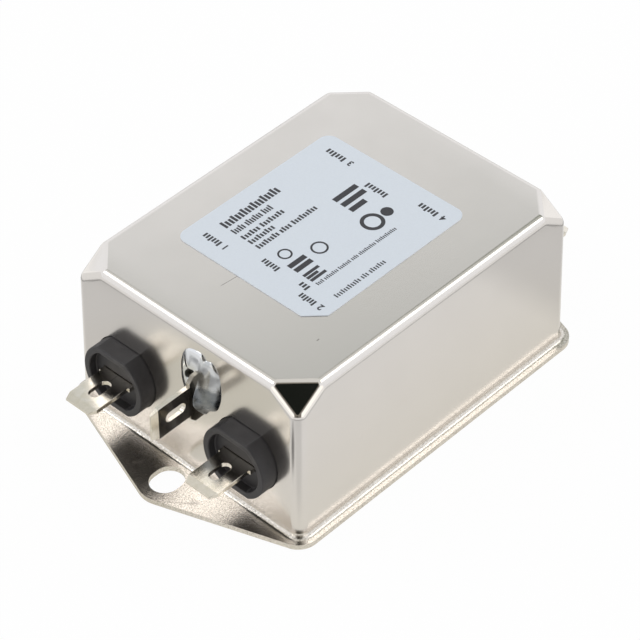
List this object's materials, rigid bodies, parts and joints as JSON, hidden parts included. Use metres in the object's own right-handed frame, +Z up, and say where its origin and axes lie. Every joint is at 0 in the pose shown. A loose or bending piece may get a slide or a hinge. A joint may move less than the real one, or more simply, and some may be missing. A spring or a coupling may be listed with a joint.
{
  "type": "emi line filter",
  "caption": "Chassis-mount mains interference filter in a drawn steel can, with push-on blades at both ends, an earth blade and a slotted mounting flange.",
  "frame": {"origin": "middle of the underside of the base plate, which is the mounting face", "axes": "+X along the case from the line end (with the earth blade) to the load end, +Y across it to the left of that direction, +Z up from the mounting face"},
  "size_m": [0.0874, 0.0536, 0.0311],
  "materials": {
    "case_steel": "tin-plated, satin with a fine grain",
    "label_film": "pale satin film",
    "bushing_plastic": "black moulded thermoplastic",
    "blade_brass": "tin-plated",
    "solder": "set solder, uneven and bright",
    "copper_wire": "enamelled copper",
    "liner_board": "pressed board",
    "circuit_board": "glass-epoxy laminate with solder mask",
    "ferrite": "sintered, dull",
    "divider_plastic": "moulded plastic",
    "box_capacitor": "moulded case",
    "disc_capacitor": "dipped coat",
    "resistor_body": "lacquered"
  },
  "bodies": {
    "root": {"can": "case_steel", "base_plate": "case_steel", "rating_label": "label_film", "bushing_line_left": "bushing_plastic", "bushing_line_right": "bushing_plastic", "bushing_load_left": "bushing_plastic", "bushing_load_right": "bushing_plastic", "terminal_line_left": "blade_brass", "terminal_line_right": "blade_brass", "terminal_load_left": "blade_brass", "terminal_load_right": "blade_brass", "ground_tab": "blade_brass", "ground_solder": "solder", "ground_wire": "copper_wire", "insulating_sheet": "liner_board", "circuit_board": "circuit_board", "board_joints": "solder", "choke_core": "ferrite", "choke_divider": "divider_plastic", "choke_winding_line": "copper_wire", "choke_winding_neutral": "copper_wire", "x_capacitor_line": "box_capacitor", "x_capacitor_load": "box_capacitor", "y_capacitor_left": "disc_capacitor", "y_capacitor_right": "disc_capacitor", "discharge_resistor": "resistor_body"}
  },
  "joints": []
}
